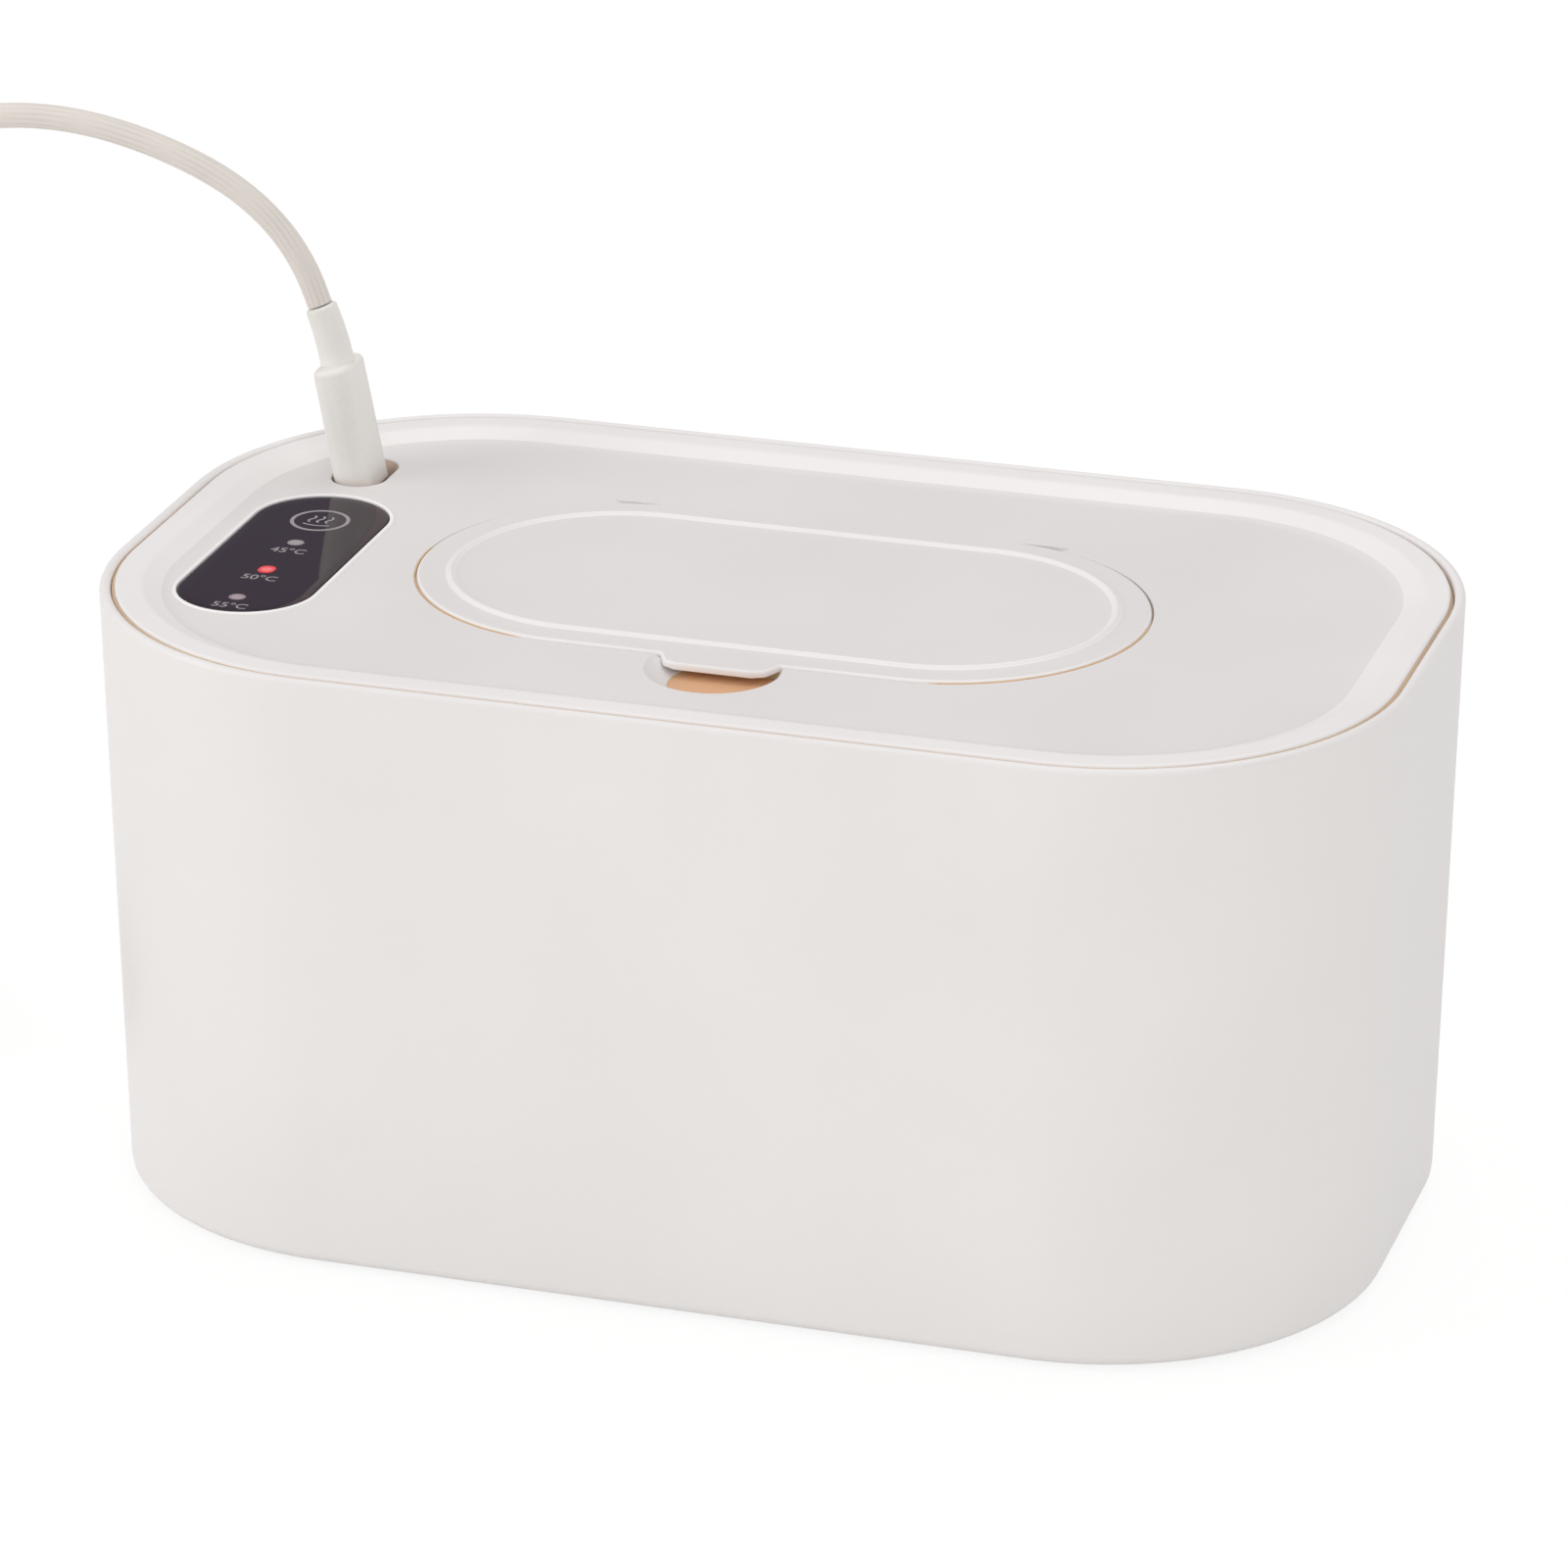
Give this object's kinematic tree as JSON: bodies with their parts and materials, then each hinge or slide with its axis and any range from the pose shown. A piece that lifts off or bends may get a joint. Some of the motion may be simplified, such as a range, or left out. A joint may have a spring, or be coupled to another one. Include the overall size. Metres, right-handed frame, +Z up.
{
  "type": "wipes dispenser",
  "caption": "Tub for a pack of wet wipes with a lift-off heated lid, a hinged flip cap over a silicone dispensing mouth, a touch panel and a power lead.",
  "frame": {"origin": "on the surface that the feet stand on, under the middle of the tub", "axes": "+X along the tub towards the end away from the control panel, +Y towards the cap's hinge at the back, +Z up"},
  "size_m": [0.322, 0.1338, 0.1594],
  "materials": {
    "tub_plastic": "fine satin warm white",
    "lid_plastic": "satin warm white",
    "tray_plastic": "matt off-white",
    "foot_rubber": "matt",
    "seal_silicone": "matt tan silicone",
    "mouth_silicone": "matt tan silicone",
    "screw_steel": "bright zinc",
    "plate_aluminium": "rolled",
    "film_amber": "polyimide film",
    "dark_plastic": "matt black",
    "fuse_ceramic": "pale ceramic",
    "lens_plastic": "smoked gloss",
    "touch_copper": "copper foil",
    "lamp_grey": "unlit lamp",
    "lamp_red": "lit red lamp",
    "board_green": "solder resist",
    "connector_steel": "plated",
    "wire_red": "insulation",
    "wire_black": "insulation",
    "wire_white": "insulation",
    "plug_plastic": "satin off-white",
    "cord_sleeve": "braided off-white",
    "tie_strap": "woven strap",
    "tongue_white": "moulded"
  },
  "bodies": {
    "tub_body": {"tub": "tub_plastic", "foot_front_left": "foot_rubber", "foot_front_right": "foot_rubber", "foot_back_left": "foot_rubber", "foot_back_right": "foot_rubber", "cord_coil": "cord_sleeve", "cord_tie": "tie_strap", "far_plug_grip": "plug_plastic", "far_plug_shell": "connector_steel", "far_plug_tongue": "tongue_white"},
    "lid": {"lid_shell": "lid_plastic", "lid_seal": "seal_silicone", "lid_tray": "tray_plastic", "lid_screw_front_left": "screw_steel", "lid_screw_front_right": "screw_steel", "lid_screw_back_right": "screw_steel", "lid_screw_back_left": "screw_steel", "lid_screw_front_middle": "screw_steel", "lid_screw_back_middle": "screw_steel", "warming_plate": "plate_aluminium", "heating_film": "film_amber", "plate_screw_front_left": "screw_steel", "plate_screw_front_right": "screw_steel", "plate_screw_back_right": "screw_steel", "plate_screw_back_left": "screw_steel", "temperature_sensor": "dark_plastic", "thermal_fuse": "fuse_ceramic", "panel_lens": "lens_plastic", "light_shield": "dark_plastic", "touch_pad": "touch_copper", "led_low": "lamp_grey", "led_middle": "lamp_red", "led_high": "lamp_grey", "control_board": "board_green", "control_chip": "dark_plastic", "board_screw_front": "screw_steel", "board_screw_back": "screw_steel", "socket_shell": "connector_steel", "socket_tongue": "dark_plastic", "socket_board": "board_green", "socket_screw_left": "screw_steel", "socket_screw_right": "screw_steel", "film_lead_left": "wire_red", "film_lead_right": "wire_black", "sensor_lead": "wire_white", "link_lead": "wire_black", "cap_seal": "mouth_silicone", "wipes_mouth": "mouth_silicone", "plug_grip": "plug_plastic", "plug_tip": "connector_steel", "plug_boot": "plug_plastic", "cord": "cord_sleeve"},
    "cap": {"flip_cap": "lid_plastic", "hinge_pin_left": "screw_steel", "hinge_pin_right": "screw_steel"}
  },
  "joints": [
    {"name": "lid_lift", "type": "slide", "parent": "tub_body", "child": "lid", "axis": [0, 0, 1], "range_m": [0, 0.035]},
    {"name": "cap_hinge", "type": "hinge", "parent": "lid", "child": "cap", "pos_m": [0, 0.0313, 0.0994], "axis": [-1, 0, 0], "range_deg": [0, 100]}
  ]
}
